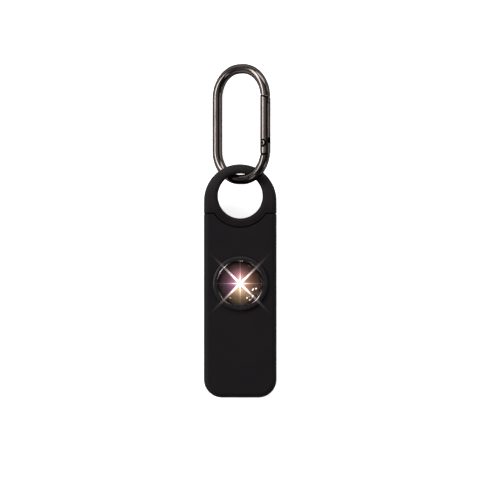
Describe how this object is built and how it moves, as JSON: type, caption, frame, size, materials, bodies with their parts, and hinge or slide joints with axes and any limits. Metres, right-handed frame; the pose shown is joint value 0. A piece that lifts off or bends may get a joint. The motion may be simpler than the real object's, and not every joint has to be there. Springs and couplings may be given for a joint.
{
  "type": "personal safety alarm",
  "caption": "Slim keyring siren and strobe alarm with a pull-off finger ring, a domed light in a raised bezel and a snap-gate carabiner through the ring.",
  "frame": {"origin": "on the back face, directly behind the middle of the lens", "axes": "+Y along the stick towards the finger ring and carabiner, +Z out of the front through the lens, +X to the right seen from the front"},
  "size_m": [0.028, 0.1288, 0.0192],
  "materials": {
    "soft_touch_black": "soft-touch matt black",
    "bezel_black": "satin black",
    "clear_lens": "clear, polished",
    "bright_reflector": "bright metallised",
    "led_white": "white package with a lit dome",
    "board_green": "solder resist",
    "bright_steel": "bright plated",
    "chip_black": "moulded black",
    "can_aluminium": "bright",
    "ferrite": "matt ferrite",
    "copper_wire": "enamelled copper",
    "natural_plastic": "natural moulded",
    "spring_brass": "bright",
    "piezo_white": "silvered",
    "foam_black": "closed-cell foam",
    "seal_rubber": "smooth",
    "switch_red": "moulded",
    "black_nickel": "polished gunmetal plating"
  },
  "bodies": {
    "alarm_body": {"front_shell": "soft_touch_black", "rear_shell": "soft_touch_black", "case_screws": "bright_steel", "lens_dome": "clear_lens", "lens_bezel": "bezel_black", "reflector_cup": "bright_reflector", "strobe_led": "led_white", "circuit_board": "board_green", "board_screws": "bright_steel", "control_chip": "chip_black", "chip_resistors": "chip_black", "driver_transistor": "chip_black", "filter_capacitor": "can_aluminium", "coil_core": "ferrite", "coil_winding": "copper_wire", "lower_cell": "bright_steel", "upper_cell": "bright_steel", "battery_cradle": "natural_plastic", "positive_clip": "spring_brass", "negative_contact": "spring_brass", "piezo_disc": "spring_brass", "piezo_ceramic": "piezo_white", "sounder_seal": "foam_black", "sound_mesh": "bright_steel", "piezo_wires": "copper_wire", "pin_socket": "natural_plastic", "pin_seal": "seal_rubber", "switch_case": "chip_black"},
    "switch_plunger": {"switch_plunger": "switch_red"},
    "pull_top": {"top_front_half": "soft_touch_black", "top_rear_half": "soft_touch_black", "pull_pin": "bright_steel"},
    "carabiner": {"carabiner_frame": "black_nickel"},
    "gate": {"gate_tube": "black_nickel", "gate_rivet": "black_nickel", "gate_spring": "bright_steel"},
    "gate_plunger": {"gate_plunger": "bright_steel"}
  },
  "joints": [
    {"name": "top_pull", "type": "slide", "parent": "alarm_body", "child": "pull_top", "axis": [0, 1, 0], "range_m": [0, 0.025]},
    {"name": "switch_release", "type": "slide", "parent": "alarm_body", "child": "switch_plunger", "axis": [0, 1, 0], "range_m": [0, 0.0005]},
    {"name": "carabiner_swing", "type": "hinge", "parent": "pull_top", "child": "carabiner", "pos_m": [0.0004, 0.0616, 0.0094], "axis": [0, -1, 0], "range_deg": [0, 102]},
    {"name": "gate_hinge", "type": "hinge", "parent": "carabiner", "child": "gate", "pos_m": [0.00968, 0.0541, 0.01685], "axis": [-0.6265, 0, 0.7794], "range_deg": [0, 38], "stiffness_Nm_per_rad": 0.04, "springref_deg": -22.92},
    {"name": "gate_plunger_lift", "type": "slide", "parent": "gate", "child": "gate_plunger", "axis": [0, 1, 0], "range_m": [0, 0.0003], "deforming": ["gate_spring"]}
  ],
  "couplings": [
    {"joint": "switch_release", "follows": "top_pull", "ratio": 0.02},
    {"joint": "gate_plunger_lift", "follows": "gate_hinge", "m_per_rad": 0.00045}
  ]
}
